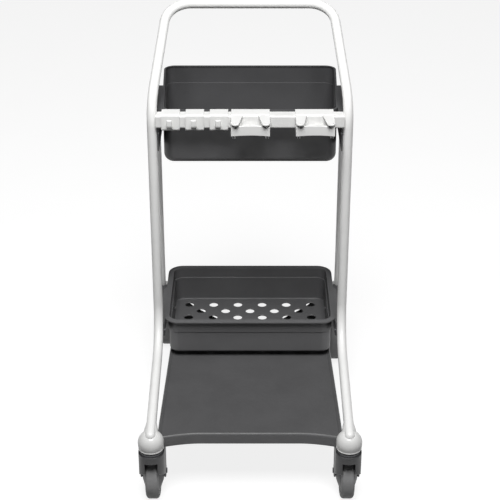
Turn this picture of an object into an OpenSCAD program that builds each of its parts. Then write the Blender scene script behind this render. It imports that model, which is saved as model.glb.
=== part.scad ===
// Housekeeping cart: bent-tube frame, two lift-out trays, base shelf, tool rail and four casters.
// Front is -Y, +X is to the right seen from the front, Z = 0 is the floor.

/* [Frame] */
// Outer diameter of the frame tube
tube_d = 22; // [18:1:28]
// Wall of the frame tube
tube_wall = 2; // [1:0.5:3]
// Distance between the centre lines of the two front posts
frame_w = 432; // [420:2:520]
// How much further out each rear post stands than the front post
rear_step_out = 6; // [0:1:12]
// Distance from the front caster axis to the rear caster axis
wheelbase = 670; // [650:5:820]
// Distance from the front caster axis to the front post
front_post_setback = 337; // [320:5:400]
// Distance from the front post to the rear post
post_spacing = 198; // [180:2:240]
// Radius of the bend between a leg and its post
leg_bend_r = 100; // [80:5:120]
// Slope of the legs
leg_slope = 8; // [4:1:14]

/* [Handle] */
// Height at which the front posts bend back into the handle arms
arm_bend_z = 772; // [760:1:860]
// Radius of the bend between a post and its arm
arm_bend_r = 90; // [60:5:120]
// Rise of the arms above the horizontal
arm_rise = 33; // [20:1:50]
// Lean of each arm towards the middle
arm_lean = 5.4; // [0:0.2:8]
// Length of the straight part of each arm
arm_len = 182; // [130:2:260]
// Radius of the two handle corners
handle_corner_r = 60; // [40:2:70]

/* [Trays] */
// Outer length of both trays, front to back
tray_len = 290; // [260:2:320]
// Thickness of the tray walls
tray_wall = 3; // [2:0.5:4]
// Radius of the tray corners in plan
tray_corner_r = 26; // [20:1:36]
// Distance from the inside of a front post to the tray wall beside it
tray_side_gap = 9; // [7:0.5:14]
// Height of the upper tray's rim above the floor
upper_rim_z = 797; // [770:1:830]
// Depth of the upper tray
upper_tray_h = 129; // [80:1:150]
// Distance from the front post to the front edge of the upper tray
upper_tray_setback = 39; // [32:1:60]
// How much wider each side of the upper tray is at the back than at the front
upper_tray_flare = 10; // [0:1:12]
// Height of the lower tray's rim above the floor
lower_rim_z = 271; // [262:1:330]
// Depth of the lower tray
lower_tray_h = 91; // [60:1:95]
// Distance from the front post to the front edge of the lower tray
lower_tray_setback = 2; // [0:1:20]
// Width of the lower tray's flange
flange_w = 11; // [8:1:14]
// Diameter of the drain holes
drain_d = 22; // [12:1:24]
// Pitch of the drain holes from side to side
drain_pitch = 62; // [50:1:64]

/* [Tool rail] */
// Height of the rail section
rail_h = 29; // [24:1:34]
// Depth of the rail section
rail_t = 31; // [26:1:36]
// Height of the rail's top face above the floor
rail_top_z = 799; // [770:1:830]
// Width of one hook
hook_w = 40; // [30:1:44]
// Width of one tool grip
grip_w = 84; // [70:1:92]

/* [Shelf] */
// Height of the shelf's surface above the foot of the domes
shelf_rise = 14.2; // [8:0.2:20]
// Thickness of the shelf plate
shelf_t = 4; // [3:0.5:6]
// Depth of the shelf's front lip
shelf_lip = 24; // [16:1:30]

/* [Casters] */
// Diameter of the wheels
wheel_d = 125; // [100:5:130]
// Width of the wheel tread
wheel_w = 30; // [26:1:34]
// Distance from the swivel axis back to the axle
trail = 38; // [30:1:46]
// Outer width of the caster fork
fork_w = 57; // [54:1:66]
// Largest radius of the dome over each caster
dome_r = 28; // [26:1:34]
// Diameter of the kingpin that the fork turns on
kingpin_d = 12; // [10:1:16]
// Diameter of the axle bolt
axle_d = 8; // [6:1:10]

/* [Hidden] */
$fn = 64;
eps = 0.01;

tube_r = tube_d / 2;
front_x = frame_w / 2;
rear_x = front_x + rear_step_out;
inner_x = front_x - tube_r;

// the rear left wheel trails backwards, so it sets the rear end of the cart
front_reach = max(dome_r, wheel_d / 2 - trail);
rear_reach = wheelbase + trail + wheel_d / 2;
front_y = -(rear_reach - front_reach) / 2;
rear_y = front_y + wheelbase;
post_y = front_y + front_post_setback;
rear_post_y = post_y + post_spacing;
rear_setback = rear_y - rear_post_y;

// caster stack, from the wheel up
arch_gap = 3.5;
fork_roof = 13;
bearing_gap = 0.3;
king_disc_t = 5;
lug_t = 5;
wheel_r = wheel_d / 2;
fork_top_z = wheel_d + arch_gap + fork_roof;
fork_cavity_z = wheel_d - 1;
king_disc_z = fork_top_z + bearing_gap;
lug_z = king_disc_z + king_disc_t;
dome_z = lug_z + lug_t;
shelf_z = dome_z + shelf_rise;
dome_h = 42;
dome_skirt = 14;
spigot_d = 20;
spigot_h = 16;
king_head_t = 3;

// legs: the nose of the tube stands a little in front of the swivel axis
nose_z = dome_z + 36;
nose_y = 8;
bend_angle = 90 - leg_slope;

// direction of the right-hand arm: turned towards the middle, then raised
arm_turn = atan(tan(arm_lean) / cos(arm_rise));
arm_pitch = asin(cos(arm_lean) * sin(arm_rise));
arm_bend = 90 - arm_pitch;
// roll of the tube between the plane of the arm bend and the plane of the handle corner
arm_roll = atan2(
    cos(arm_lean) * cos(arm_turn) + sin(arm_lean) * cos(arm_rise) * sin(arm_turn),
    sin(arm_pitch) * (cos(arm_lean) * sin(arm_turn) - sin(arm_lean) * cos(arm_rise) * cos(arm_turn))
        + cos(arm_pitch) * sin(arm_lean) * sin(arm_rise));
half_bar = front_x - arm_bend_r * (1 - cos(arm_bend)) * sin(arm_turn)
    - arm_len * sin(arm_lean) - handle_corner_r * cos(arm_lean);

// trays
flange_t = 4;
fit_gap = 0.5;
band_h = 18;
band_t = 1.5;
floor_t = 3;
tray_half_w = inner_x - tray_side_gap;
upper_y = post_y + upper_tray_setback;
lower_y = post_y + lower_tray_setback;
ear_x = front_x - 3;
ear_y1 = rear_post_y - tube_r - 4;
drain_rows = 3;
drain_row_pitch = 32.6;

// brackets: the inner face clears the flared wall of the upper tray
bracket_x = tray_half_w + fit_gap
    + upper_tray_flare * (rear_post_y + tube_r - upper_y) / tray_len;
upper_bracket_h = 83;
lower_bracket_h = 32;
screw_d = 5;
screw_head_d = 11;
screw_head_t = 1.2;

// rail and its fittings
rail_z = rail_top_z - rail_h;
rail_front_y = post_y - rail_t / 2;
rail_wall = 2.5;
clip_t = 3;
clip_gap = 0.2;
cap_len = 8;
cap_grip = 1.5;
// centres of the fittings along the rail, from the middle of the cart
hook_pitch = 53;
hook_x = -inner_x + 31;
grip_left_x = 1;
grip_right_x = 141;

white = [0.93, 0.93, 0.92];
charcoal = [0.24, 0.24, 0.25];
dark = [0.16, 0.16, 0.17];
tyre_grey = [0.42, 0.42, 0.43];
steel = [0.66, 0.67, 0.69];

// ---------- bent tube ----------

// a bend is drawn a hair slimmer than the straight runs, which reach a little way into it
lap = 0.05;
bend_thinning = 0.02;

module tube_section(thin, solid) {
    difference() {
        circle(d = tube_d - thin);
        if (!solid) circle(d = tube_d - 2 * tube_wall + thin);
    }
}

// a straight run along +Z, with the children at its far end
module run(len, solid = false) {
    translate([0, 0, -lap]) linear_extrude(len + 2 * lap) tube_section(0, solid);
    translate([0, 0, len]) children();
}

// a bend that starts along +Z and turns towards +X
module bend(r, angle, solid = false) {
    translate([r, 0, 0]) rotate([90, 0, 180])
        rotate_extrude(angle = angle) translate([r, 0]) tube_section(bend_thinning, solid);
    translate([r, 0, 0]) rotate([0, angle, 0]) translate([-r, 0, 0]) children();
}

module round_end(solid) {
    difference() {
        sphere(d = tube_d - bend_thinning);
        if (!solid) sphere(d = tube_d - 2 * tube_wall + bend_thinning);
        translate([0, 0, tube_d]) cube(2 * tube_d, center = true);
    }
}

function leg_run(setback) = (setback + nose_y - leg_bend_r * (1 - cos(bend_angle))) / cos(leg_slope);
function post_foot_z(setback) =
    nose_z + leg_run(setback) * sin(leg_slope) + leg_bend_r * sin(bend_angle);

// leg from its rounded nose to the foot of the post, for a post at the origin with its nose at -Y
module leg(setback, solid = false) {
    translate([0, -setback - nose_y, nose_z]) rotate([-bend_angle, 0, 0]) rotate([0, 0, -90]) {
        round_end(solid);
        run(leg_run(setback), solid) bend(leg_bend_r, bend_angle, solid) children();
    }
}

// right side of the front frame: leg, post, arm and handle corner, then a bar of the given length
module front_side(bar, solid = false) {
    translate([front_x, post_y, 0])
        leg(front_post_setback, solid)
        run(arm_bend_z - post_foot_z(front_post_setback), solid)
        rotate([0, 0, 180 + arm_turn]) bend(arm_bend_r, arm_bend, solid)
        run(arm_len, solid)
        rotate([0, 0, arm_roll]) bend(handle_corner_r, 90 - arm_lean, solid)
        if (bar > 0) run(bar, solid);
}

module rear_side(side, solid = false) {
    post_len = upper_rim_z - flange_t - 8 - post_foot_z(rear_setback);
    translate([side * rear_x, rear_post_y, 0]) mirror([0, 1, 0])
        leg(rear_setback, solid) run(post_len, solid);
}

module front_frame() {
    color(white) {
        front_side(2 * half_bar);
        mirror([1, 0, 0]) front_side(0);
    }
}

module rear_frame_left() { color(white) rear_side(-1); }
module rear_frame_right() { color(white) rear_side(1); }

// ---------- brackets ----------

module bracket_bores(side, rim_z, h) {
    for (y = [post_y, rear_post_y])
        translate([0, y, rim_z - flange_t - h / 2]) rotate([0, side * 90, 0])
            cylinder(d = screw_d, h = rear_x);
}

// clamps both posts of one side and carries the ear of a tray on its top face
module bracket(side, rim_z, h) {
    top_z = rim_z - flange_t;
    pocket_wall = 6;
    pocket_y = post_y + tube_d + pocket_wall;
    color(charcoal) mirror([side < 0 ? 1 : 0, 0, 0]) difference() {
        translate([bracket_x, post_y, top_z - h]) cube([rear_x - bracket_x, post_spacing, h]);
        front_side(0, solid = true);
        rear_side(1, solid = true);
        bracket_bores(1, rim_z, h);
        translate([bracket_x + pocket_wall, pocket_y, top_z - h - 1])
            cube([tube_d, post_spacing - 2 * (tube_d + pocket_wall), h - pocket_wall]);
        children();
    }
}

module upper_bracket(side) {
    bracket(side, upper_rim_z, upper_bracket_h)
        rail_bar(bracket_x - cap_len, rear_x + 1, solid = true);
}

module upper_bracket_left() { upper_bracket(-1); }
module upper_bracket_right() { upper_bracket(1); }
module lower_bracket_left() { bracket(-1, lower_rim_z, lower_bracket_h); }
module lower_bracket_right() { bracket(1, lower_rim_z, lower_bracket_h); }

// screws from the inner face of each bracket into the posts
module frame_screws() {
    color(steel)
        for (side = [-1, 1],
             b = [[upper_rim_z, upper_bracket_h], [lower_rim_z, lower_bracket_h]],
             p = [[front_x, post_y], [rear_x, rear_post_y]])
            translate([side * bracket_x, p[1], b[0] - flange_t - b[1] / 2]) rotate([0, side * 90, 0]) {
                cylinder(d = screw_d, h = p[0] - bracket_x - tube_r / 2);
                translate([0, 0, -screw_head_t]) cylinder(d = screw_head_d, h = screw_head_t);
            }
}

// ---------- trays ----------

// a quarter arc of a plan's corner, as points
function corner_arc(x, y, r, start) =
    [for (i = [0:8]) [x + r * cos(start + i * 90 / 8), y + r * sin(start + i * 90 / 8)]];

// outline that is half_a wide at y = 0 and half_b wide at y = len, with round corners
function tray_plan(half_a, half_b, len, r) = concat(
    corner_arc(-half_a + r, r, r, 180), corner_arc(half_a - r, r, r, 270),
    corner_arc(half_b - r, len - r, r, 0), corner_arc(-half_b + r, len - r, r, 90));

// the outline [half_a, half_b, r] drawn in by inset, and h high
module tray_prism(outline, inset, h) {
    linear_extrude(h) translate([0, inset]) polygon(tray_plan(
        outline[0] - inset, outline[1] - inset, tray_len - 2 * inset, outline[2] - inset));
}

// open box under a rim outline, its walls set in by edge; children join it in the cart's own frame
module tray_box(outline, edge, y, rim_z, h) {
    color(charcoal) difference() {
        union() {
            translate([0, y, rim_z - h]) tray_prism(outline, edge + band_t, h);
            translate([0, y, rim_z - band_h]) tray_prism(outline, edge, band_h);
            children();
        }
        translate([0, y, rim_z - h + floor_t]) tray_prism(outline, edge + band_t + tray_wall, h);
    }
}

// plan of the two ears that rest on the brackets
module ears(y0, corner_r) {
    for (side = [-1, 1]) translate([side * (ear_x + tray_half_w) / 2, (y0 + ear_y1) / 2])
        rounded_rect(ear_x - tray_half_w + tray_wall, ear_y1 - y0, corner_r);
}

module rounded_rect(w, h, r) {
    square([w - 2 * r, h], center = true);
    square([w, h - 2 * r], center = true);
    for (x = [-1, 1], y = [-1, 1]) translate([x * (w / 2 - r), y * (h / 2 - r)]) circle(r = r);
}

module upper_tray() {
    ridge_w = 1.5;
    ridge_h = 1.2;
    ear_y0 = post_y + tube_r + 15;
    tray_box([tray_half_w, tray_half_w + upper_tray_flare, tray_corner_r], 0,
             upper_y, upper_rim_z, upper_tray_h) {
        translate([0, 0, upper_rim_z - flange_t]) linear_extrude(flange_t) ears(ear_y0, 2);
        // ridges that stiffen the ears
        for (side = [-1, 1], x = [ear_x - 3, ear_x - 7])
            translate([side * x - ridge_w / 2, ear_y0 + 2, upper_rim_z - 1])
                cube([ridge_w, ear_y1 - ear_y0 - 4, ridge_h + 1]);
    }
}

module drain_holes() {
    for (row = [-drain_rows:drain_rows]) {
        count = row % 2 == 0 ? 5 : 6;
        for (i = [0:count - 1])
            translate([(i - (count - 1) / 2) * drain_pitch, row * drain_row_pitch, -1])
                cylinder(d = drain_d, h = floor_t + 2);
    }
}

module lower_tray() {
    half = tray_half_w + flange_w;
    ear_y0 = post_y + tube_r + 6;
    color(charcoal) difference() {
        tray_box([half, half, tray_corner_r + flange_w], flange_w,
                 lower_y, lower_rim_z, lower_tray_h) {
            translate([0, lower_y, lower_rim_z - flange_t])
                tray_prism([half, half, tray_corner_r + flange_w], 0, flange_t);
            translate([0, 0, lower_rim_z - flange_t]) linear_extrude(flange_t) ears(ear_y0, 8);
        }
        translate([0, lower_y + tray_len / 2, lower_rim_z - lower_tray_h]) drain_holes();
    }
}

// ---------- tool rail ----------

module rail_profile(grow) {
    rounded_rect(rail_t + 2 * grow, rail_h + 2 * grow, 4 + grow);
}

// places a profile drawn in Y and Z on the rail's centre line and runs it along X
module along_rail(x0, x1) {
    translate([x0, post_y, rail_z + rail_h / 2]) rotate([90, 0, 90]) linear_extrude(x1 - x0) children();
}

module rail_bar(x0, x1, solid = false) {
    along_rail(x0, x1) difference() {
        rail_profile(0);
        if (!solid) rail_profile(-rail_wall);
    }
}

module tool_rail() {
    color(white) rail_bar(-inner_x + cap_len, inner_x - cap_len);
}

// solid ends of the rail, hollowed to seat on the posts
module rail_end_caps() {
    color(white) for (side = [0, 1]) mirror([side, 0, 0]) difference() {
        rail_bar(inner_x - cap_len, inner_x + cap_grip, solid = true);
        translate([front_x, post_y, rail_z - 1]) cylinder(d = tube_d, h = rail_h + 2);
    }
}

// C-shaped clip that snaps over the rail from the front
module rail_clip(x, w) {
    mouth_h = rail_h - 8;
    along_rail(x - w / 2, x + w / 2) difference() {
        rail_profile(clip_t);
        rail_profile(0);
        translate([rail_t / 2 - eps, -mouth_h / 2]) square([clip_t + 1, mouth_h]);
    }
}

// clip with an upturned peg in front
module hook(x) {
    peg_w = 13;
    peg_t = 5;
    peg_r = 9;
    peg_reach = 4;
    peg_tip = 8;
    arc_z = peg_t / 2 + peg_r;
    color(white) {
        rail_clip(x, hook_w);
        along_rail(x - peg_w / 2, x + peg_w / 2) translate([-rail_t / 2 - clip_t, -rail_h / 2]) {
            translate([-peg_reach, 0]) square([peg_reach + 1, peg_t]);
            translate([-peg_reach - peg_r - peg_t / 2, arc_z]) square([peg_t, peg_tip]);
            translate([-peg_reach, arc_z]) intersection() {
                difference() {
                    circle(r = peg_r + peg_t / 2);
                    circle(r = peg_r - peg_t / 2);
                }
                translate([-2 * peg_r, -2 * peg_r]) square(2 * peg_r);
            }
        }
    }
}

module hook_left() { hook(hook_x); }
module hook_middle() { hook(hook_x + hook_pitch); }
module hook_right() { hook(hook_x + 2 * hook_pitch); }

// handle grip: a clip with a cradle in front and two arms above it that end in lobes
lobe_r = 9;
lobe_x = grip_w / 2 - lobe_r;
arm_t = 3.5;
arm_reach = 50;
lobe_y = rail_front_y - arm_reach;
cradle_h = 22;
cradle_t = 28;
jaw_r = 7;
jaw_h = 9;
jaw_y = lobe_y + 6;

module grip_arm(side) {
    root_x = 16;
    mirror([side < 0 ? 1 : 0, 0, 0]) translate([0, 0, rail_top_z + clip_t - arm_t]) linear_extrude(arm_t) {
        polygon([[root_x, rail_front_y - clip_t + 1], [grip_w / 2, rail_front_y - clip_t + 1],
                 [grip_w / 2, lobe_y], [lobe_x - lobe_r, lobe_y]]);
        translate([lobe_x, lobe_y]) circle(r = lobe_r);
    }
}

module grip_holder(x) {
    arch_r = 150;
    arch_rise = 4;
    color(white) {
        rail_clip(x, grip_w);
        for (side = [-1, 1]) translate([x, 0, 0]) grip_arm(side);
        difference() {
            along_rail(x - grip_w / 2, x + grip_w / 2)
                translate([-rail_t / 2 - clip_t - cradle_t, rail_h / 2 - cradle_h - 12])
                    square([cradle_t + 1, cradle_h]);
            translate([x, post_y, rail_z + rail_h - cradle_h - 12 + arch_rise - arch_r])
                rotate([90, 0, 0]) cylinder(r = arch_r, h = 2 * arch_r, $fn = 200);
        }
    }
}

// rubber jaws under the lobes, which close on a tool's handle
module grip_jaws(x) {
    color(tyre_grey) for (side = [-1, 1])
        translate([x + side * lobe_x, jaw_y, rail_top_z + clip_t - arm_t - jaw_h])
            cylinder(r = jaw_r, h = jaw_h);
}

module grip_holder_left() { grip_holder(grip_left_x); }
module grip_holder_right() { grip_holder(grip_right_x); }
module grip_jaws_left() { grip_jaws(grip_left_x); }
module grip_jaws_right() { grip_jaws(grip_right_x); }

// ---------- base shelf ----------

// right half of the shelf's outline, drawn in by t; its corners reach out to the casters
function shelf_half(t) = [
    [0, front_y + 27 + t], [front_x - 92, front_y + 27 + t], [front_x - 58, front_y + 22 + t],
    [front_x - 26 - t, front_y + 14 + t], [front_x - 12 - t, front_y + 13 + t],
    [front_x - 12 - t, front_y + 60], [front_x - 26 - t, rear_y - 60],
    [rear_x - 20 - t, rear_y + 6 - t], [rear_x - 40 - t, rear_y + 6 - t],
    [front_x - 66 - t, rear_y - 61 - t], [front_x - 150, rear_y - 146 - t], [0, rear_y - 152 - t]];
function other_side(points) = [for (i = [len(points) - 2:-1:1]) [-points[i][0], points[i][1]]];
function shelf_outline(t) = concat(shelf_half(t), other_side(shelf_half(t)));

module at_casters() {
    for (side = [-1, 1], p = [[front_x, front_y], [rear_x, rear_y]])
        translate([side * p[0], p[1], 0]) children();
}

module base_shelf() {
    skirt_t = 4;
    rim_h = 4;
    lug_r = 24;
    web_w = 28;
    shelf_bottom = shelf_z - shelf_lip;
    color(charcoal) difference() {
        union() {
            difference() {
                translate([0, 0, shelf_bottom]) linear_extrude(shelf_lip) polygon(shelf_outline(0));
                translate([0, 0, shelf_bottom - 1])
                    linear_extrude(shelf_lip - shelf_t + 1) polygon(shelf_outline(skirt_t));
            }
            // raised rims along the two sides
            translate([0, 0, shelf_z]) linear_extrude(rim_h) difference() {
                polygon(shelf_outline(0));
                polygon(shelf_outline(skirt_t));
                translate([-front_x + 55, front_y - 50]) square([2 * front_x - 110, wheelbase + 100]);
            }
            // lugs clamped between the domes and the kingpins
            at_casters() translate([0, 0, lug_z]) cylinder(r = lug_r, h = lug_t);
            for (side = [-1, 1]) {
                translate([side * (front_x - 26) - web_w / 2, front_y + 16, lug_z]) cube([web_w, 18, lug_t]);
                translate([side * (rear_x - 30) - web_w / 2, rear_y - 23, lug_z]) cube([web_w, 24, lug_t]);
            }
        }
        at_casters() {
            translate([0, 0, dome_z]) cylinder(r = dome_r + 0.3, h = shelf_lip);
            translate([0, 0, lug_z - shelf_lip]) cylinder(r = lug_r + 2, h = shelf_lip);
            translate([0, 0, lug_z - 1]) cylinder(d = spigot_d, h = lug_t + 2);
        }
    }
}

// ---------- casters ----------

// white dome that caps the end of a leg and takes the caster's spigot
module dome_shape() {
    steps = 12;
    difference() {
        rotate_extrude() polygon(concat([[0, 0], [dome_r - 1, 0], [dome_r, dome_skirt / 2]],
            [for (i = [0:steps - 1]) [dome_r * cos(90 * i / steps),
                dome_skirt + (dome_h - dome_skirt) * sin(90 * i / steps)]], [[0, dome_h]]));
        translate([0, 0, -1]) cylinder(d = spigot_d, h = spigot_h + 1);
    }
}

// the dome of one caster, bored for the straight end and the round nose of its leg
module dome(x, y, facing) {
    nose = [0, -nose_y, nose_z - dome_z];
    color(white) translate([x, y, dome_z]) mirror([0, facing, 0]) difference() {
        dome_shape();
        translate(nose) rotate([-bend_angle, 0, 0]) cylinder(d = tube_d, h = 2 * dome_r);
        translate(nose) sphere(d = tube_d - bend_thinning);
    }
}

module dome_front_left() { dome(-front_x, front_y, 0); }
module dome_front_right() { dome(front_x, front_y, 0); }
module dome_rear_left() { dome(-rear_x, rear_y, 1); }
module dome_rear_right() { dome(rear_x, rear_y, 1); }

// disc, spigot and kingpin: the fixed half of a caster
module kingpin() {
    disc_d = 50;
    head_d = 22;
    pin_bottom = fork_cavity_z - bearing_gap - king_head_t;
    color(steel) {
        translate([0, 0, king_disc_z]) cylinder(d = disc_d, h = king_disc_t);
        translate([0, 0, lug_z]) cylinder(d = spigot_d, h = lug_t + spigot_h);
        translate([0, 0, pin_bottom]) cylinder(d = kingpin_d, h = king_disc_z - pin_bottom + 1);
        translate([0, 0, pin_bottom]) cylinder(d = head_d, h = king_head_t);
    }
}

// the wheel's place in a fork at the origin
module at_axle() {
    translate([0, trail, wheel_r]) rotate([0, 90, 0]) children();
}

cheek_t = 4.1;
cheek_in = fork_w / 2 - cheek_t;
running_gap = 0.05;

module fork() {
    skirt_z = wheel_d - 30;
    slot_w = wheel_w + 3;
    window_w = wheel_w - 2.5;
    boss_r = 15;
    web_r = boss_r - 3;
    tail = 16;
    shoulder_h = 22;
    toe = 6;
    front = -fork_w / 2;
    color(dark) difference() {
        intersection() {
            linear_extrude(fork_top_z) {
                circle(d = fork_w);
                translate([front, 0]) square([fork_w, trail + tail]);
            }
            union() {
                at_axle() cylinder(r = boss_r, h = fork_w + 2, center = true);
                translate([front - 1, 0, 0]) rotate([90, 0, 90]) linear_extrude(fork_w + 2)
                    polygon([[front, skirt_z], [front, fork_top_z], [trail - tail, fork_top_z],
                             [trail + tail, fork_top_z - shoulder_h], [trail + web_r, wheel_r],
                             [trail - web_r, wheel_r], [front + toe, skirt_z]]);
            }
        }
        translate([0, 0, -1]) linear_extrude(fork_cavity_z + 1) {
            circle(r = cheek_in);
            translate([-cheek_in, 0]) square([2 * cheek_in, fork_w + trail]);
        }
        at_axle() cylinder(r = wheel_r + arch_gap, h = slot_w, center = true);
        translate([-window_w / 2, front - 1, -1]) cube([window_w, fork_w / 2, fork_cavity_z + 1]);
        at_axle() cylinder(d = axle_d, h = fork_w + 2, center = true);
        cylinder(d = kingpin_d + 2 * running_gap, h = fork_top_z + 1);
    }
}

// axle bolt with its head and nut
module axle() {
    head_d = 13;
    head_h = 2.5;
    color(steel) at_axle() {
        cylinder(d = axle_d, h = fork_w, center = true);
        for (side = [-1, 1]) translate([0, 0, side * (fork_w + head_h) / 2])
            cylinder(d = head_d, h = head_h, center = true, $fn = 6);
    }
}

rim_r = wheel_r - 12.5;
rim_w = 26;
core_r = 11;

module wheel() {
    web_t = 10;
    color(tyre_grey) at_axle() difference() {
        union() {
            cylinder(r = core_r, h = 2 * cheek_in - 1, center = true);
            cylinder(r = rim_r - 5, h = web_t, center = true);
            difference() {
                cylinder(r = rim_r, h = rim_w, center = true);
                cylinder(r = rim_r - 6, h = rim_w + 1, center = true);
            }
        }
        cylinder(d = axle_d + 2 * running_gap, h = fork_w, center = true);
    }
}

module tread() {
    corner_r = 8;
    color(tyre_grey) at_axle() rotate_extrude() intersection() {
        translate([rim_r, -wheel_w / 2]) square([wheel_r - rim_r, wheel_w]);
        union() {
            translate([rim_r, -wheel_w / 2]) square([wheel_r - rim_r - corner_r, wheel_w]);
            translate([rim_r, -wheel_w / 2 + corner_r])
                square([wheel_r - rim_r, wheel_w - 2 * corner_r]);
            for (side = [-1, 1])
                translate([wheel_r - corner_r, side * (wheel_w / 2 - corner_r)]) circle(r = corner_r);
        }
    }
}

// thread guards: shallow cones that close both sides of a wheel
module guards() {
    guard_h = cheek_in - 1.5 - rim_w / 2;
    color(dark) at_axle() for (side = [0, 1]) mirror([0, 0, side]) translate([0, 0, rim_w / 2])
        difference() {
            cylinder(r1 = rim_r - 2, r2 = core_r + 9, h = guard_h);
            translate([0, 0, -2]) cylinder(r1 = rim_r - 4, r2 = core_r + 7, h = guard_h);
            cylinder(r = core_r, h = 3 * guard_h, center = true);
        }
}

// one place per caster: side, axis and the way the wheel trails
module front_left() { translate([-front_x, front_y, 0]) children(); }
module front_right() { translate([front_x, front_y, 0]) children(); }
module rear_left() { translate([-rear_x, rear_y, 0]) children(); }
module rear_right() { translate([rear_x, rear_y, 0]) rotate([0, 0, 180]) children(); }

module kingpin_front_left() { front_left() kingpin(); }
module kingpin_front_right() { front_right() kingpin(); }
module kingpin_rear_left() { rear_left() kingpin(); }
module kingpin_rear_right() { rear_right() kingpin(); }
module fork_front_left() { front_left() fork(); }
module fork_front_right() { front_right() fork(); }
module fork_rear_left() { rear_left() fork(); }
module fork_rear_right() { rear_right() fork(); }
module axle_front_left() { front_left() axle(); }
module axle_front_right() { front_right() axle(); }
module axle_rear_left() { rear_left() axle(); }
module axle_rear_right() { rear_right() axle(); }
module wheel_front_left() { front_left() wheel(); }
module wheel_front_right() { front_right() wheel(); }
module wheel_rear_left() { rear_left() wheel(); }
module wheel_rear_right() { rear_right() wheel(); }
module tread_front_left() { front_left() tread(); }
module tread_front_right() { front_right() tread(); }
module tread_rear_left() { rear_left() tread(); }
module tread_rear_right() { rear_right() tread(); }
module guards_front_left() { front_left() guards(); }
module guards_front_right() { front_right() guards(); }
module guards_rear_left() { rear_left() guards(); }
module guards_rear_right() { rear_right() guards(); }

front_frame();
rear_frame_left();
rear_frame_right();
upper_bracket_left();
upper_bracket_right();
lower_bracket_left();
lower_bracket_right();
upper_tray();
lower_tray();
tool_rail();
rail_end_caps();
frame_screws();
hook_left();
hook_middle();
hook_right();
grip_holder_left();
grip_holder_right();
grip_jaws_left();
grip_jaws_right();
base_shelf();
dome_front_left();
dome_front_right();
dome_rear_left();
dome_rear_right();
kingpin_front_left();
kingpin_front_right();
kingpin_rear_left();
kingpin_rear_right();
fork_front_left();
fork_front_right();
fork_rear_left();
fork_rear_right();
axle_front_left();
axle_front_right();
axle_rear_left();
axle_rear_right();
wheel_front_left();
wheel_front_right();
wheel_rear_left();
wheel_rear_right();
tread_front_left();
tread_front_right();
tread_rear_left();
tread_rear_right();
guards_front_left();
guards_front_right();
guards_rear_left();
guards_rear_right();
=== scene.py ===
import math

import bmesh
import bpy
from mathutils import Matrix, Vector


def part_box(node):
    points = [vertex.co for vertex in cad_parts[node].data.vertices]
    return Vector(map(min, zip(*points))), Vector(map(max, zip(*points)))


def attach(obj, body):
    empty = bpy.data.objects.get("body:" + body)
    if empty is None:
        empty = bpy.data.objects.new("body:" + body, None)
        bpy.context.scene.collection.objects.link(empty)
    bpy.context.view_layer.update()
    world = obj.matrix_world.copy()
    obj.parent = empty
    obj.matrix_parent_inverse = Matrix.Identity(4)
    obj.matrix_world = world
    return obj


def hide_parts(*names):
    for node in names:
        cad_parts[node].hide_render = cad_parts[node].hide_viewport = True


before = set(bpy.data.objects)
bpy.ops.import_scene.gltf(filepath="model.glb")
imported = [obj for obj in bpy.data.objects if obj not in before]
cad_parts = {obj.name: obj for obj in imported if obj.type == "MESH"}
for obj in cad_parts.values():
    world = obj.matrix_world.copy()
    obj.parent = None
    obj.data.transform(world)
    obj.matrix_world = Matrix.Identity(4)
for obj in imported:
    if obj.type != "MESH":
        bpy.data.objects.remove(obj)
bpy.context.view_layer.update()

# ---- Front frame ----
# One steel tube, 22 mm across, bent cold into both legs, both posts, the two arms and the handle.
# It is powder coated white, which leaves a fine orange peel, and the coat dulls where hands rub it.


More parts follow.
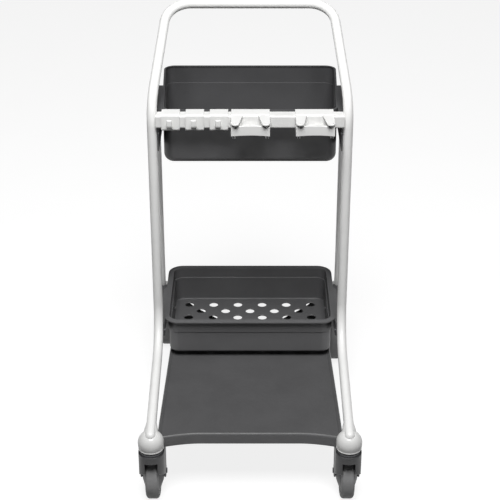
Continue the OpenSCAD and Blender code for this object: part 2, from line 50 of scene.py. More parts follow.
class Finish:
    """A surface made of nodes: its Principled shader, and short ways to add texture to it."""

    def __init__(self, name, roughness, metallic=0.0, coat=0.0):
        self.material = bpy.data.materials.new(name)
        self.material.use_nodes = True
        self.tree = self.material.node_tree
        self.shader = self.tree.nodes["Principled BSDF"]
        self.shader.inputs["Roughness"].default_value = roughness
        self.shader.inputs["Metallic"].default_value = metallic
        self.shader.inputs["Coat Weight"].default_value = coat
        self.place = self.tree.nodes.new("ShaderNodeTexCoord").outputs["Object"]

    def link(self, source, target):
        self.tree.links.new(source, target)

    def noise(self, size, detail=3.0, stretch=(1, 1, 1)):
        """Cloudy noise whose blotches are about size metres across."""
        mapping = self.tree.nodes.new("ShaderNodeMapping")
        mapping.inputs["Scale"].default_value = [s / size for s in stretch]
        noise = self.tree.nodes.new("ShaderNodeTexNoise")
        noise.inputs["Scale"].default_value = 1.0
        noise.inputs["Detail"].default_value = detail
        self.link(self.place, mapping.inputs["Vector"])
        self.link(mapping.outputs["Vector"], noise.inputs["Vector"])
        return noise.outputs["Fac"]

    def span(self, value, low, high, start=0.3, end=0.7):
        """The value from start to end, stretched to low to high."""
        spread = self.tree.nodes.new("ShaderNodeMapRange")
        spread.inputs["From Min"].default_value = start
        spread.inputs["From Max"].default_value = end
        spread.inputs["To Min"].default_value = low
        spread.inputs["To Max"].default_value = high
        self.link(value, spread.inputs["Value"])
        return spread.outputs["Result"]

    def mix(self, factor, low, high):
        """A colour between low and high, each a colour or the output of a node."""
        mix = self.tree.nodes.new("ShaderNodeMix")
        mix.data_type = "RGBA"
        for socket, colour in ((mix.inputs[6], low), (mix.inputs[7], high)):
            if isinstance(colour, bpy.types.NodeSocket):
                self.link(colour, socket)
            else:
                socket.default_value = (*colour, 1.0)
        self.link(factor, mix.inputs["Factor"])
        return mix.outputs[2]

    def times(self, first, second):
        product = self.tree.nodes.new("ShaderNodeMath")
        product.operation = "MULTIPLY"
        self.link(first, product.inputs[0])
        self.link(second, product.inputs[1])
        return product.outputs[0]

    def edges(self, start, end):
        """One along sharp outer edges, nought on flat faces and in corners."""
        geometry = self.tree.nodes.new("ShaderNodeNewGeometry")
        return self.span(geometry.outputs["Pointiness"], 0.0, 1.0, start, end)

    def mottle(self, colour, spread, size):
        """The colour, a little lighter and darker in patches of the given size."""
        low = [c * (1 - spread) for c in colour]
        high = [min(1.0, c * (1 + spread)) for c in colour]
        return self.mix(self.span(self.noise(size), 0.0, 1.0), low, high)

    def colour(self, output):
        self.link(output, self.shader.inputs["Base Color"])

    def gloss(self, size, low, high):
        self.link(self.span(self.noise(size), low, high), self.shader.inputs["Roughness"])

    def relief(self, *layers):
        """Bumps, one layer over another, each given as (height output, depth in metres)."""
        normal = None
        for height, depth in layers:
            bump = self.tree.nodes.new("ShaderNodeBump")
            bump.inputs["Distance"].default_value = depth
            self.link(height, bump.inputs["Height"])
            if normal:
                self.link(normal, bump.inputs["Normal"])
            normal = bump.outputs["Normal"]
        self.link(normal, self.shader.inputs["Normal"])


def powder_coat():
    coat = Finish("white_powder_coat", 0.4, coat=0.25)
    base = coat.mottle((0.92, 0.92, 0.91), 0.015, 0.06)
    rubbed = coat.times(coat.span(coat.noise(0.02, 6), 0.0, 0.5, 0.52, 0.75), coat.edges(0.5, 0.58))
    coat.colour(coat.mix(rubbed, base, (0.78, 0.78, 0.77)))
    coat.gloss(0.015, 0.34, 0.46)
    coat.relief((coat.noise(0.0016, 2), 0.00006), (coat.noise(0.012, 2), 0.0001))
    return coat.material


def dress(material, *nodes):
    """Gives parts of the fixed frame a finish."""
    for name in nodes:
        for material_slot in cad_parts[name].material_slots:
            material_slot.material = material


white_coat = powder_coat()
dress(white_coat, "front_frame")

# ---- Rear frames ----
# Two shorter tubes of the same stock, one a side. Each rises from its caster, bends upright and
# ends in the upper bracket.
dress(white_coat, "rear_frame_left", "rear_frame_right")

# ---- Brackets ----
# Four moulded clamps that hold a front post and a rear post together and carry a tray's ear.
# They are glass-filled nylon, dark grey, with the fine spark-eroded grain of the mould.


def moulded(name, colour, spread=0.06, roughness=(0.42, 0.55), grain=0.00003, scuff=0.5):
    """Moulded plastic: a fine grain, faint flow marks, and pale scuffs on the edges."""
    plastic = Finish(name, sum(roughness) / 2)
    base = plastic.mottle(colour, spread, 0.09)
    scuffs = plastic.times(plastic.span(plastic.noise(0.006, 8), 0.0, scuff, 0.5, 0.72),
                           plastic.edges(0.53, 0.62))
    plastic.colour(plastic.mix(scuffs, base, [min(1.0, c * 1.7 + 0.02) for c in colour]))
    plastic.gloss(0.03, *roughness)
    flow = plastic.noise(0.05, 2, (1, 1, 0.3))
    plastic.relief((flow, 0.0002), (plastic.noise(0.0009, 3), grain))
    return plastic.material


bracket_plastic = moulded("bracket_nylon", (0.075, 0.075, 0.078))
dress(bracket_plastic, "upper_bracket_left", "upper_bracket_right",
      "lower_bracket_left", "lower_bracket_right")

# ---- Frame screws ----
# Eight black-plated pan-head screws, two through each bracket and into its posts. They are driven
# from the middle of the cart, so the heads are on each bracket's inner side.


def plated(name, colour, roughness=(0.22, 0.4)):
    """Plated steel: faint brushing and small dull spots."""
    steel = Finish(name, sum(roughness) / 2, metallic=1.0)
    steel.colour(steel.mottle(colour, 0.12, 0.004))
    steel.gloss(0.003, *roughness)
    steel.relief((steel.noise(0.0006, 2, (1, 1, 0.1)), 0.00003))
    return steel.material


black_plate = plated("black_plate", (0.10, 0.10, 0.105), (0.4, 0.55))
dress(black_plate, "frame_screws")

# ---- Upper tray ----
# A deep box, injection moulded in dark grey polypropylene, wider at the back than at the front.
# Two ears rest on the upper brackets, and the tray slides out backwards.


def arc(centre_x, centre_y, radius, start, end, steps):
    """Points along a circle, from one angle to another in degrees."""
    turns = [math.radians(start + (end - start) * i / steps) for i in range(steps + 1)]
    return [(centre_x + radius * math.cos(t), centre_y + radius * math.sin(t)) for t in turns]


def mesh_object(name, verts, faces, smooth_under=35):
    """A new piece from points and faces, shaded smooth except over edges sharper than the angle."""
    mesh = bpy.data.meshes.new(name)
    mesh.from_pydata([tuple(v) for v in verts], [], faces)
    form = bmesh.new()
    form.from_mesh(mesh)
    bmesh.ops.remove_doubles(form, verts=form.verts, dist=1e-6)
    bmesh.ops.recalc_face_normals(form, faces=form.faces)
    form.to_mesh(mesh)
    form.free()
    piece = bpy.data.objects.new(name, mesh)
    bpy.context.scene.collection.objects.link(piece)
    return shade(piece, smooth_under)


def shade(piece, smooth_under):
    piece.data.shade_smooth()
    piece.data.set_sharp_from_angle(angle=math.radians(smooth_under))
    return piece


def loft(name, rings, smooth_under=35):
    """A closed skin over rings that have the same number of points, flat at both ends."""
    count = len(rings[0])
    faces = [list(range(count))[::-1]]
    for level in range(len(rings) - 1):
        low, high = level * count, (level + 1) * count
        for i in range(count):
            after = (i + 1) % count
            faces.append([low + i, low + after, high + after, high + i])
    faces.append(list(range((len(rings) - 1) * count, len(rings) * count)))
    return mesh_object(name, [point for ring in rings for point in ring], faces, smooth_under)


def settle(piece, smooth_under=35):
    """Makes the piece's modifiers part of its mesh."""
    graph = bpy.context.evaluated_depsgraph_get()
    mesh = bpy.data.meshes.new_from_object(piece.evaluated_get(graph))
    piece.modifiers.clear()
    piece.data = mesh
    return shade(piece, smooth_under)


def combine(piece, tool, operation, smooth_under=35):
    """Adds the tool to the piece (UNION) or cuts it away (DIFFERENCE), and removes the tool."""
    change = piece.modifiers.new("change", "BOOLEAN")
    change.operation = operation
    change.object = tool
    change.solver = "EXACT"
    settle(piece, smooth_under)
    bpy.data.objects.remove(tool)
    return piece


def soften(piece, width, segments=3, angle=40):
    """Rounds the edges that are sharper than the angle."""
    bevel = piece.modifiers.new("edges", "BEVEL")
    bevel.width = width
    bevel.segments = segments
    bevel.limit_method = "ANGLE"
    bevel.angle_limit = math.radians(angle)
    return settle(piece, 50)


def prism(name, outline, low, high, axis="Z"):
    """An outline run straight from low to high along an axis. Along X it is drawn in Y and Z."""
    def point(a, b, height):
        return (a, b, height) if axis == "Z" else (height, a, b)
    return loft(name, [[point(a, b, height) for a, b in outline] for height in (low, high)])


def finish_piece(piece, material, body, slot, *nodes):
    """Gives a piece its finish, the body it rides on and the nodes it stands for; the slot argument is not
    used.
    """
    piece.data.materials.clear()
    piece.data.materials.append(material)
    flat_faces = piece.modifiers.new("flat_faces", "WEIGHTED_NORMAL")
    flat_faces.keep_sharp = True
    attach(piece, body)
    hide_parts(*nodes)


def tray_ring(half_front, half_back, y_front, y_back, corner, inset, height):
    """The tray's outline in plan, drawn in by inset, at a height."""
    front, back = half_front - inset, half_back - inset
    y0, y1, r = y_front + inset, y_back - inset, max(corner - inset, 0.002)
    outline = (arc(-front + r, y0 + r, r, 180, 270, 12) + arc(front - r, y0 + r, r, 270, 360, 12)
               + arc(back - r, y1 - r, r, 0, 90, 12) + arc(-back + r, y1 - r, r, 90, 180, 12))
    return [(x, y, height) for x, y in outline]


def fillet(inset, height, radius, inwards, steps=6):
    """Steps round the corner between a floor and a wall, as (inset, height)."""
    steps_up = [(inset + radius * (1 - math.sin(math.radians(90 * i / steps))),
                 height + radius * (1 - math.cos(math.radians(90 * i / steps))))
                for i in range(steps + 1)]
    return steps_up[::-1] if inwards else steps_up


tray_plastic = moulded("tray_polypropylene", (0.086, 0.086, 0.089))
tray_low, tray_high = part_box("upper_tray")
tray_depth = 0.129
rim_z = tray_low[2] + tray_depth
tray_half = 0.196
tray_flare = 0.01
tray_corner = 0.026
wall = 0.003
floor_edge = 0.018
taper = 0.0018
ledge_drop = 0.042

upper_stations = (
    fillet(taper, tray_low[2], floor_edge, False)
    + [(0.002, rim_z - 0.0185), (0.0004, rim_z - 0.0175), (0.0, rim_z - 0.0165),
       (0.0, rim_z - 0.0014), (0.0004, rim_z - 0.0004), (0.0012, rim_z), (0.0040, rim_z),
       (0.0047, rim_z - 0.0004), (0.0050, rim_z - 0.0014), (0.0044, rim_z - 0.0028),
       (0.0030, rim_z - 0.0044), (0.0030, rim_z - ledge_drop),
       (0.0034, rim_z - ledge_drop - 0.0008), (0.0048, rim_z - ledge_drop - 0.0012)]
    + fillet(taper + wall + 0.0012, tray_low[2] + wall, floor_edge - wall, True))
upper_tray = loft("upper_tray_shell", [
    tray_ring(tray_half, tray_half + tray_flare, tray_low[1], tray_high[1], tray_corner, inset, z)
    for inset, z in upper_stations])

ear_x = tray_high[0]
post_y = sum(end[1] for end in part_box("tool_rail")) / 2
ear_front = post_y + 0.026
ear_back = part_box("upper_bracket_left")[1][1] - 0.015
for side in (-1, 1):
    ear_outline = [(side * x, y) for x, y in (
        (tray_half - 0.0015, ear_front), (ear_x - 0.003, ear_front), (ear_x - 0.0009, ear_front + 0.0009),
        (ear_x, ear_front + 0.003), (ear_x, ear_back - 0.002), (ear_x - 0.002, ear_back),
        (tray_half + 0.003, ear_back))]
    combine(upper_tray, prism("ear", ear_outline, rim_z - 0.004, rim_z - 0.0006), "UNION")
    for offset in (0.003, 0.007, 0.011):
        ridge = side * (ear_x - offset)
        ridge_outline = [(ridge - 0.0008, ear_front + 0.002), (ridge + 0.0008, ear_front + 0.002),
                         (ridge + 0.0008, ear_back - 0.002), (ridge - 0.0008, ear_back - 0.002)]
        combine(upper_tray, prism("ridge", ridge_outline, rim_z - 0.002, rim_z + 0.001), "UNION")
finish_piece(upper_tray, tray_plastic, "upper_tray", "tray_plastic", "upper_tray")

# ---- Lower tray ----
# A shallower box of the same plastic with a flange all round, lifted out upwards. Its floor has
# rows of round drain holes, staggered, and two pairs of small studs stand on its side walls.
tray_low, tray_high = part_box("lower_tray")
lower_rim_z = tray_high[2]
flange = 0.011
flange_thick = 0.004
flange_half = tray_half + flange
band_z = lower_rim_z - 0.034
inner_ledge_z = lower_rim_z - 0.026
lower_edge = 0.007

lower_stations = (
    fillet(flange + taper, tray_low[2], lower_edge, False)
    + [(flange + 0.002, band_z - 0.0015), (flange + 0.0004, band_z - 0.0005), (flange, band_z + 0.0005),
       (flange, lower_rim_z - flange_thick - 0.001), (flange - 0.001, lower_rim_z - flange_thick),
       (0.0005, lower_rim_z - flange_thick), (0.0, lower_rim_z - flange_thick + 0.0005),
       (0.0, lower_rim_z - 0.0015), (0.0005, lower_rim_z - 0.0004), (0.0015, lower_rim_z),
       (flange + 0.0012, lower_rim_z), (flange + 0.0024, lower_rim_z - 0.0005),
       (flange + 0.003, lower_rim_z - 0.0018), (flange + 0.0034, inner_ledge_z),
       (flange + 0.004, inner_ledge_z - 0.0008), (flange + 0.0056, inner_ledge_z - 0.0012)]
    + fillet(flange + taper + wall + 0.001, tray_low[2] + wall, lower_edge - wall, True))
lower_tray = loft("lower_tray_shell", [
    tray_ring(flange_half, flange_half, tray_low[1], tray_high[1], tray_corner + flange, inset, z)
    for inset, z in lower_stations])


def s_curve(x0, x1, y0, y1, steps=8):
    """Points along a smooth step from x0 to x1 as y goes from y0 to y1."""
    ease = [(1 - math.cos(math.pi * i / steps)) / 2 for i in range(steps + 1)]
    return [(x0 + (x1 - x0) * e, y0 + (y1 - y0) * i / steps) for i, e in enumerate(ease)]


lower_ear_x = tray_high[0]
ear_sweep = 0.024
lower_ear_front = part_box("lower_bracket_left")[0][1] + 0.003
for side in (-1, 1):
    ear_outline = [(side * x, y) for x, y in (
        [(flange_half - 0.004, lower_ear_front)]
        + s_curve(flange_half - 0.001, lower_ear_x, lower_ear_front, lower_ear_front + ear_sweep)
        + s_curve(lower_ear_x, flange_half - 0.001, ear_back - ear_sweep, ear_back)
        + [(flange_half - 0.004, ear_back)])]
    combine(lower_tray, prism("ear", ear_outline, lower_rim_z - flange_thick, lower_rim_z - 0.0004), "UNION")

drain_radius = 0.011
drain_pitch = 0.062
drain_row_pitch = 0.0326
drain_chamfer = 0.001
tray_middle = (tray_low[1] + tray_high[1]) / 2


def drain_cutter(x, y):
    """A spool that cuts one drain hole and breaks its edges."""
    levels = ((-0.002, 0.002), (0.0, 0.0005), (0.0008, 0.0), (wall - drain_chamfer, 0.0),
              (wall, drain_chamfer), (wall + 0.002, drain_chamfer + 0.002))
    return [[(x + px, y + py, tray_low[2] + level)
             for px, py in arc(0, 0, drain_radius + grow, 0, 348.75, 31)] for level, grow in levels]


for row in range(-3, 4):
    count = 5 if row % 2 == 0 else 6
    for i in range(count):
        hole = drain_cutter((i - (count - 1) / 2) * drain_pitch, tray_middle + row * drain_row_pitch)
        combine(lower_tray, loft("drain", hole), "DIFFERENCE")

stud_radius = 0.004
for side in (-1, 1):
    for stud_y in (tray_low[1] + 0.1, tray_low[1] + 0.19):
        inner = side * (flange_half - flange - taper - wall)
        stud = [[(inner + side * 0.002 - side * out, stud_y + py, tray_low[2] + 0.022 + pz)
                 for py, pz in arc(0, 0, radius, 0, 330, 11)]
                for out, radius in ((0.0, stud_radius), (0.0045, stud_radius), (0.006, 0.0028))]
        combine(lower_tray, loft("stud", stud), "UNION")
# Painted light: this is the upper tray's plastic set lighter (0.13 against 0.086), so that the lower tray
# reads as more brightly lit.
lower_tray_painted_light_plastic = moulded("lower_tray_polypropylene_painted_light", (0.13, 0.13, 0.133))
finish_piece(lower_tray, lower_tray_painted_light_plastic, "lower_tray", "tray_plastic", "lower_tray")

# ---- Tool rail ----
# A rounded box section, extruded in aluminium and coated white, between the front posts. A moulded
# cap at each end is hollowed to seat on its post.
rail_coat = moulded("white_rail", (0.8, 0.8, 0.79), 0.012, (0.3, 0.42), 0.00001, 0.2)
dress(rail_coat, "tool_rail", "rail_end_caps")

# ---- Hooks ----
# Three white clips, injection moulded, that snap over the rail from the front. Each has a short
# peg that turns up at its end, for a cloth or a spray bottle.
white_plastic = moulded("white_moulding", (0.85, 0.85, 0.84), 0.012, (0.28, 0.4), 0.00001, 0.15)
rail_low, rail_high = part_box("tool_rail")
rail_mid_y = (rail_low[1] + rail_high[1]) / 2
rail_mid_z = (rail_low[2] + rail_high[2]) / 2
rail_half_t = (rail_high[1] - rail_low[1]) / 2
rail_half_h = (rail_high[2] - rail_low[2]) / 2
clip_thick = 0.0045
clip_gap = 0.0001
mouth_half = rail_half_h - 0.004


def clip_side(grow, radius):
    """Half a turn and more round the rail, from the mouth's lower lip to its upper lip."""
    back, front = rail_mid_y + rail_half_t + grow, rail_mid_y - rail_half_t - grow
    low, high = rail_mid_z - rail_half_h - grow, rail_mid_z + rail_half_h + grow
    return ([(back, rail_mid_z - mouth_half)]
            + arc(back - radius, low + radius, radius, 0, -90, 6)
            + arc(front + radius, low + radius, radius, 270, 180, 6)
            + arc(front + radius, high - radius, radius, 180, 90, 6)
            + arc(back - radius, high - radius, radius, 90, 0, 6)
            + [(back, rail_mid_z + mouth_half)])


def rail_clip(name, x_middle, width):
    outline = clip_side(clip_thick, 0.0055) + clip_side(clip_gap, 0.004)[::-1]
    clip = prism(name, outline, x_middle - width / 2, x_middle + width / 2, "X")
    return soften(clip, 0.0005)


def peg(x_middle):
    """The upturned peg, drawn from the side and then given its width."""
    thick = 0.0055
    turn = 0.009
    peg_left, peg_right = 0.0075, 0.0045
    root = rail_mid_y - rail_half_t - clip_thick + 0.001
    bottom = rail_mid_z - rail_half_h + 0.003
    tip = bottom + turn + thick / 2 + 0.009
    elbow_y, elbow_z = root - 0.005, bottom + turn + thick / 2
    outline = ([(root, bottom)] + arc(elbow_y, elbow_z, turn + thick / 2, 270, 180, 10)
               + arc(elbow_y - turn, tip, thick / 2, 180, 0, 8)
               + arc(elbow_y, elbow_z, turn - thick / 2, 180, 270, 10)
               + [(root, bottom + thick)])
    body = prism("peg", outline, x_middle - peg_left, x_middle + peg_right, "X")
    return soften(body, 0.0018, 4, 50)


for name in ("hook_left", "hook_middle", "hook_right"):
    low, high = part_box(name)
    middle = (low[0] + high[0]) / 2
    hook = rail_clip(name + "_clip", middle, high[0] - low[0])
    combine(hook, peg(middle), "UNION", 50)
    finish_piece(hook, white_plastic, "frame", "white_plastic", name)

# ---- Grip holders ----
# Two white mouldings that hold the handles of tools. A plate over the rail splits into two arms
# with round lobes, and a pocket below them has a hollow front wall that a handle leans on.


def grip_plate(x_middle, half_w, lobe_y, top_z):
    """The top plate: square at the back, with a notch between two arms that end in lobes."""
    lobe_r = 0.009
    lobe_x = half_w - lobe_r
    notch_x, notch_r = 0.013, 0.0055
    root_y = rail_mid_y - rail_half_t - 0.003
    half = ([(half_w, rail_mid_y + rail_half_t), (half_w, lobe_y + 0.008)]
            + arc(lobe_x, lobe_y, lobe_r, 0, -152, 14)
            + arc(notch_x, root_y - notch_r, notch_r, 32, 90, 5))
    outline = [(x_middle + x, y) for x, y in half] + [(x_middle - x, y) for x, y in half[::-1]]
    plate = prism("plate", outline, top_z - 0.0035, top_z)
    soften(plate, 0.0009, 3, 40)
    for side in (-1, 1):
        centre = x_middle + side * lobe_x
        groove = (arc(centre, lobe_y + 0.001, 0.0062, 200, 340, 12)
                  + arc(centre, lobe_y + 0.003, 0.0062, 335, 205, 12))
        combine(plate, prism("groove", groove, top_z - 0.0012, top_z + 0.001), "DIFFERENCE", 40)
    return plate


def grip_wall(x_middle, half_w, front_y, low_z, high_z):
    """The front wall: hollow in front, with two cheeks that run back to the rail and a pocket."""
    hollow = 0.006
    back = rail_mid_y - rail_half_t - 0.001
    steps = 24
    front = [(half_w * (2 * i / steps - 1), front_y + hollow * (1 - (2 * i / steps - 1) ** 2))
             for i in range(steps + 1)]
    outline = [(x_middle + x, y) for x, y in front]
    outline += [(x_middle + half_w, back), (x_middle - half_w, back)]
    block = prism("wall", outline, low_z, high_z)
    soften(block, 0.001, 3, 40)
    pocket_share, wall_thick = 0.88, 0.004
    pocket_half, pocket_back = pocket_share * half_w, back - 0.001
    pocket = [(x_middle + pocket_share * x, y + wall_thick) for x, y in front]
    pocket += [(x_middle + pocket_half, pocket_back), (x_middle - pocket_half, pocket_back)]
    return combine(block, prism("pocket", pocket, low_z + 0.002, high_z + 0.001), "DIFFERENCE", 40)


def grip_seat(x_middle, top_z, low_z):
    """The hollowed face behind the notch, which a tool's handle leans on."""
    rows, columns = 8, 20
    back = rail_mid_y - rail_half_t - 0.0005
    rings = []
    for row in range(rows + 1):
        down = row / rows
        half = 0.017 + 0.012 * down
        edge_y = back - 0.0055 - 0.003 * down
        hollow = 0.004 + 0.003 * down
        face = [(x_middle + half * (2 * i / columns - 1),
                 edge_y + hollow * (1 - (2 * i / columns - 1) ** 2)) for i in range(columns + 1)]
        ring = face + [(x_middle + half, back), (x_middle - half, back)]
        rings.append([(x, y, top_z + (low_z - top_z) * down) for x, y in ring])
    return loft("seat", rings, 50)


for side_name in ("left", "right"):
    name = "grip_holder_" + side_name
    low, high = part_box(name)
    middle = (low[0] + high[0]) / 2
    half_w = (high[0] - low[0]) / 2
    grip = rail_clip(name + "_body", middle, 2 * half_w)
    wall_front = low[1] + 0.009
    wall_low, wall_high = rail_high[2] - 0.027, rail_high[2] - 0.0048
    combine(grip, grip_plate(middle, half_w, low[1] + 0.009, high[2]), "UNION", 40)
    combine(grip, grip_wall(middle, half_w, wall_front - 0.003, wall_low, wall_high), "UNION", 40)
    combine(grip, grip_seat(middle, high[2] - 0.003, wall_low + 0.003), "UNION", 40)
    for tooth in (-1, 1):
        for offset in (0.0035, 0.0085):
            tooth_x = middle + tooth * (half_w - offset)
            spike = [[(tooth_x + px, wall_front + 0.003 + py, wall_low + level)
                      for px, py in arc(0, 0, radius, 0, 315, 7)]
                     for level, radius in ((0.002, 0.0016), (-0.002, 0.0014), (-0.006, 0.0006))]
            combine(grip, loft("tooth", spike), "UNION", 40)
    finish_piece(grip, white_plastic, "frame", "white_plastic", name)

# ---- Grip jaws ----
# Rubber rollers under the lobes, pushed apart by a handle and closing on it again.


def rubber(name, colour, roughness=(0.55, 0.75)):
    """Moulded rubber: matt, with a bloom in patches and a fine pitted skin."""
    skin = Finish(name, sum(roughness) / 2)
    base = skin.mottle(colour, 0.1, 0.02)
    bloom = skin.span(skin.noise(0.008, 6), 0.0, 0.35, 0.5, 0.8)
    skin.colour(skin.mix(bloom, base, [min(1.0, c * 1.5) for c in colour]))
    skin.gloss(0.01, *roughness)
    skin.relief((skin.noise(0.0007, 3), 0.00005), (skin.noise(0.004, 3), 0.0001))
    return skin.material


jaw_rubber = rubber("jaw_rubber", (0.16, 0.16, 0.165))
dress(jaw_rubber, "grip_jaws_left", "grip_jaws_right")

# ---- Base shelf ----
# One dark grey moulding, ribbed by its own turned-down skirt and by a raised rim. Its corners run
# out over the casters, where each is clamped between a dome and a kingpin.
shelf_low, shelf_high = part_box("base_shelf")
caster_spots = {}
for corner in ("front_left", "front_right", "rear_left", "rear_right"):
    low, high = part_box("dome_" + corner)
    caster_spots[corner] = ((low[0] + high[0]) / 2, (low[1] + high[1]) / 2)
front_x, front_y = caster_spots["front_right"]
rear_x, rear_y = caster_spots["rear_right"]
panel_z = shelf_high[2] - 0.004
skirt = 0.004
rim_w = 0.008


def rounded(points, radii, steps=6):
    """The corners of a closed outline turned into arcs of about the given radii."""
    result = []
    count = len(points)
    for i, here in enumerate(points):
        before, after = points[i - 1] - here, points[(i + 1) % count] - here
        reach = min(radii[i], before.length * 0.48, after.length * 0.48)
        start, end = here + before.normalized() * reach, here + after.normalized() * reach
        for k in range(steps + 1):
            t = k / steps
            result.append((1 - t) ** 2 * start + 2 * t * (1 - t) * here + t * t * end)
    return result


def drawn_in(points, inset):
    """A closed outline, anticlockwise, moved inwards by the same amount everywhere."""
    result = []
    count = len(points)
    for i, point in enumerate(points):
        ahead = (points[(i + 1) % count] - point).normalized()
        behind = (point - points[i - 1]).normalized()
        inward = Vector((-(ahead + behind).y, (ahead + behind).x)).normalized()
        result.append(point + inward * inset / inward.dot(Vector((-ahead.y, ahead.x))))
    return result


shelf_half = [
    (front_x - 0.092, front_y + 0.027, 0.06), (front_x - 0.058, front_y + 0.022, 0.03),
    (front_x - 0.026, front_y + 0.014, 0.02), (front_x - 0.012, front_y + 0.013, 0.006),
    (front_x - 0.012, front_y + 0.06, 0.04), (front_x - 0.026, rear_y - 0.06, 0.05),
    (rear_x - 0.02, rear_y + 0.006, 0.01), (rear_x - 0.04, rear_y + 0.006, 0.02),
    (front_x - 0.066, rear_y - 0.061, 0.04), (front_x - 0.15, rear_y - 0.146, 0.05),
    (0.03, rear_y - 0.152, 0.05)]
shelf_points = shelf_half + [(-x, y, r) for x, y, r in shelf_half[::-1]]
shelf_corners = [Vector((x, y)) for x, y, radius in shelf_points]
shelf_radii = [radius for x, y, radius in shelf_points]

rim_top = shelf_high[2] - 0.0016
shelf_stations = [
    (skirt, panel_z - skirt), (skirt, shelf_low[2] + 0.0005), (skirt - 0.0005, shelf_low[2]),
    (0.0006, shelf_low[2]), (0.0, shelf_low[2] + 0.0006), (0.0002, rim_top - 0.0068),
    (0.001, rim_top - 0.0042), (0.0024, rim_top - 0.002), (0.0042, rim_top - 0.0006),
    (0.006, rim_top), (rim_w - 0.0008, rim_top - 0.0003), (rim_w, rim_top - 0.001),
    (rim_w + 0.0012, panel_z + 0.0006), (rim_w + 0.0025, panel_z)]
shelf = loft("base_shelf_moulding", [
    [(p.x, p.y, z) for p in rounded(drawn_in(shelf_corners, inset), shelf_radii)]
    for inset, z in shelf_stations], 45)

dome_foot_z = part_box("dome_front_left")[0][2]
lug_z = dome_foot_z - 0.005
lug_radius = 0.024
bridge_half = 0.014


def disc(name, x, y, radius, low, high, steps=48):
    return prism(name, arc(x, y, radius, 0, 360 - 360 / steps, steps - 1), low, high)


for x, y in caster_spots.values():
    inner_x = x - math.copysign(0.026 if y < 0 else 0.03, x)
    near, far = (y + 0.016, y + 0.034) if y < 0 else (y - 0.023, y + 0.001)
    combine(shelf, disc("pocket", x, y, 0.0283, dome_foot_z, dome_foot_z + 0.03), "DIFFERENCE", 45)
    combine(shelf, disc("swivel_room", x, y, lug_radius + 0.002, lug_z - 0.02, lug_z), "DIFFERENCE", 45)
    combine(shelf, disc("lug", x, y, lug_radius, lug_z, dome_foot_z), "UNION", 45)
    left, right = inner_x - bridge_half, inner_x + bridge_half
    bridge = [(left, near), (right, near), (right, far), (left, far)]
    combine(shelf, prism("bridge", bridge, lug_z + 0.0001, dome_foot_z - 0.0001), "UNION", 45)
    combine(shelf, disc("spigot_hole", x, y, 0.0101, lug_z - 0.002, dome_foot_z + 0.002), "DIFFERENCE", 45)
shelf_plastic = moulded("shelf_polypropylene", (0.088, 0.088, 0.09))
finish_piece(shelf, shelf_plastic, "frame", "charcoal_plastic", "base_shelf")

# ---- Caster domes ----
# A white moulded cap over each caster. It is round below and draws out to a saddle under the tube,
# whose blunt nose lies in it, and the kingpin's spigot runs up inside it.
leg_slope = math.radians(8)


def dome_form(name, x, y, facing, foot_z, nose_z):
    """The cap's skin: a bulged foot and a cone along the leg, melted together."""
    belly_r, belly_z = 0.0288, 0.014
    profile = [(0.0266, 0.0), (0.0272, 0.0006), (0.0272, 0.0014), (0.0266, 0.002)]
    profile += [(belly_r - 0.0018 * (1 - t / 6) ** 2, 0.002 + (belly_z - 0.002) * t / 6) for t in range(1, 6)]
    profile += [(belly_r * math.cos(t), belly_z + 0.0275 * math.sin(t))
                for t in (math.radians(10 * i) for i in range(9))]
    rings = [[(x + radius * math.cos(math.radians(7.5 * i)), y + radius * math.sin(math.radians(7.5 * i)),
               foot_z + height) for i in range(48)] for radius, height in profile]
    cap = loft(name, rings, 60)
    back = Vector((0, facing * math.cos(leg_slope), math.sin(leg_slope)))
    up = Vector((0, -back.z * facing, abs(back.y)))
    start = Vector((x, y - facing * 0.004, nose_z - 0.009))
    sleeve = []
    for along, radius in ((-0.004, 0.004), (0.0, 0.0125), (0.008, 0.0165), (0.02, 0.0155),
                          (0.032, 0.0130), (0.04, 0.0112)):
        centre = start + back * along + up * (0.008 * max(0.0, along / 0.04))
        sleeve.append([centre + Vector((radius * math.cos(math.radians(10 * i)), 0, 0))
                       + up * (radius * 0.92 * math.sin(math.radians(10 * i))) for i in range(36)])
    combine(cap, loft("sleeve", sleeve), "UNION", 60)
    melt = cap.modifiers.new("melt", "REMESH")
    melt.mode = "VOXEL"
    melt.voxel_size = 0.0009
    smooth = cap.modifiers.new("smooth", "SMOOTH")
    smooth.factor = 0.5
    smooth.iterations = 8
    thin = cap.modifiers.new("thin", "DECIMATE")
    thin.ratio = 0.35
    settle(cap, 80)
    cut_flat(cap, foot_z + 0.0003)
    lip = prism("lip", arc(x, y, 0.0278, 0, 352.5, 47), foot_z + 0.0002, foot_z + 0.0016)
    return combine(cap, lip, "UNION", 60)


def cut_flat(piece, height):
    """Cuts the piece flat at a height and closes it."""
    form = bmesh.new()
    form.from_mesh(piece.data)
    cut = bmesh.ops.bisect_plane(form, geom=form.verts[:] + form.edges[:] + form.faces[:],
                                 plane_co=(0, 0, height), plane_no=(0, 0, -1), clear_outer=True)
    rim = [item for item in cut["geom_cut"] if isinstance(item, bmesh.types.BMEdge)]
    bmesh.ops.contextual_create(form, geom=rim)
    form.to_mesh(piece.data)
    form.free()


dome_plastic = moulded("white_dome", (0.8, 0.8, 0.79), 0.012, (0.24, 0.34), 0.00001, 0.15)
nose_z = dome_foot_z + 0.036
for corner, (x, y) in caster_spots.items():
    dome = dome_form("dome_cap_" + corner, x, y, 1 if y < 0 else -1, dome_foot_z, nose_z)
    finish_piece(dome, dome_plastic, "frame", "white_plastic", "dome_" + corner)

# ---- Kingpins ----
# The fixed half of each caster: a black-plated disc, the spigot that goes up into the leg's
# insert, and the pin below that the fork turns on.
corners = tuple(caster_spots)
dress(black_plate, *["kingpin_" + corner for corner in corners])

# ---- Forks ----
# Dark grey nylon housings that turn on the kingpins. The front is closed round the wheel, with a
# slot for the tread, and two cheeks run down to the axle.


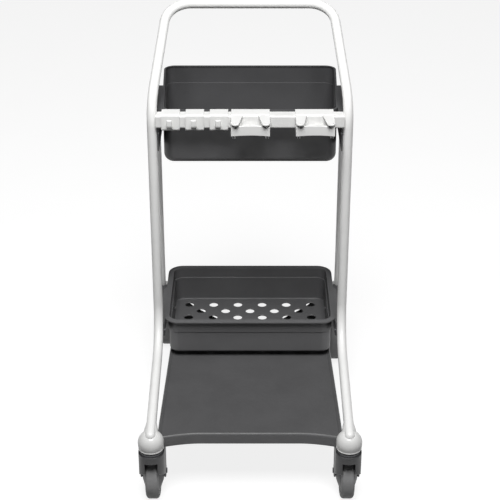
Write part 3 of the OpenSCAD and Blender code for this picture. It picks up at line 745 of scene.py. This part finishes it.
def moulded_copy(name, node, voxel, rounds):
    """The node's own form with every edge rounded, as a moulding has it."""
    copy = bpy.data.objects.new(name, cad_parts[node].data.copy())
    bpy.context.scene.collection.objects.link(copy)
    copy.matrix_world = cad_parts[node].matrix_world.copy()
    weld = copy.modifiers.new("weld", "WELD")
    weld.merge_threshold = 0.00002
    melt = copy.modifiers.new("melt", "REMESH")
    melt.mode = "VOXEL"
    melt.voxel_size = voxel
    smooth = copy.modifiers.new("smooth", "SMOOTH")
    smooth.factor = 0.5
    smooth.iterations = rounds
    thin = copy.modifiers.new("thin", "DECIMATE")
    thin.ratio = 0.3
    return settle(copy, 60)


fork_plastic = moulded("fork_nylon", (0.048, 0.048, 0.05), 0.08, (0.4, 0.55), 0.00004, 0.4)
for corner in corners:
    fork = moulded_copy("fork_housing_" + corner, "fork_" + corner, 0.0011, 4)
    finish_piece(fork, fork_plastic, "swivel_" + corner, "fork_plastic", "fork_" + corner)

# ---- Axles ----
# A black-plated steel bolt through the two cheeks of each fork, with a low round head at each end.
# The wheel rolls on it.
dress(black_plate, *["axle_" + corner for corner in corners])

# ---- Wheels ----
# Grey polypropylene centres with a grey rubber tread moulded over them, and a dark guard on each
# side that keeps threads and hair off the axle. The treads carry scuffs from the floor.
wheel_plastic = moulded("wheel_polypropylene", (0.11, 0.11, 0.112), 0.08, (0.45, 0.6))
guard_plastic = moulded("guard_nylon", (0.045, 0.045, 0.047), 0.08, (0.45, 0.6))
tread_rubber = rubber("tread_rubber", (0.27, 0.27, 0.272))
for corner in corners:
    dress(wheel_plastic, "wheel_" + corner)
    dress(tread_rubber, "tread_" + corner)
    dress(guard_plastic, "guards_" + corner)

# ---- Studio ----
# A white floor, one broad light overhead, a sky that is paler above than below, and the camera.
# The floor shows behind the cart, but neither lights it from below nor shades it.


def floor_paint():
    paint = Finish("studio_floor", 0.6)
    paint.colour(paint.mottle((0.3, 0.3, 0.3), 0.01, 0.5))
    paint.shader.inputs["Emission Color"].default_value = (1.0, 1.0, 1.0, 1.0)
    paint.shader.inputs["Emission Strength"].default_value = 0.84
    paint.gloss(0.2, 0.55, 0.7)
    return paint.material


floor_size = 14.0
floor = mesh_object("studio_floor", [(-floor_size, -floor_size, 0), (floor_size, -floor_size, 0),
                                     (floor_size, floor_size, 0), (-floor_size, floor_size, 0)],
                    [[0, 1, 2, 3]])
floor.data.materials.append(floor_paint())
floor.visible_diffuse = False
floor.visible_shadow = False


def area_light(name, place, aim, size, power):
    lamp = bpy.data.lights.new(name, "AREA")
    lamp.shape = "SQUARE"
    lamp.size = size
    lamp.energy = power
    lamp_object = bpy.data.objects.new(name, lamp)
    lamp_object.location = place
    lamp_object.rotation_euler = (Vector(aim) - Vector(place)).to_track_quat("-Z", "Y").to_euler()
    bpy.context.scene.collection.objects.link(lamp_object)


area_light("key", (0.0, -1.5, 3.3), (0, 0, 0.4), 1.6, 122)
world = bpy.data.worlds.new("studio")
world.use_nodes = True
sky = world.node_tree
direction = sky.nodes.new("ShaderNodeTexCoord")
height = sky.nodes.new("ShaderNodeSeparateXYZ")
brightness = sky.nodes.new("ShaderNodeMapRange")
brightness.inputs["From Min"].default_value = -0.4
brightness.inputs["From Max"].default_value = 0.4
brightness.inputs["To Min"].default_value = 0.66
brightness.inputs["To Max"].default_value = 1.2
sky.links.new(direction.outputs["Generated"], height.inputs["Vector"])
sky.links.new(height.outputs["Z"], brightness.inputs["Value"])
sky.links.new(brightness.outputs["Result"], sky.nodes["Background"].inputs["Strength"])
bpy.context.scene.world = world
bpy.context.scene.view_settings.view_transform = "Standard"

camera_data = bpy.data.cameras.new("camera")
camera_data.lens = 94.6
camera_data.sensor_width = 36.0
camera = bpy.data.objects.new("camera", camera_data)
camera.location = (0.0, -2.73465, 1.8357)
camera.rotation_euler = (math.radians(63.07), 0.0, 0.0)
bpy.context.scene.collection.objects.link(camera)
bpy.context.scene.camera = camera
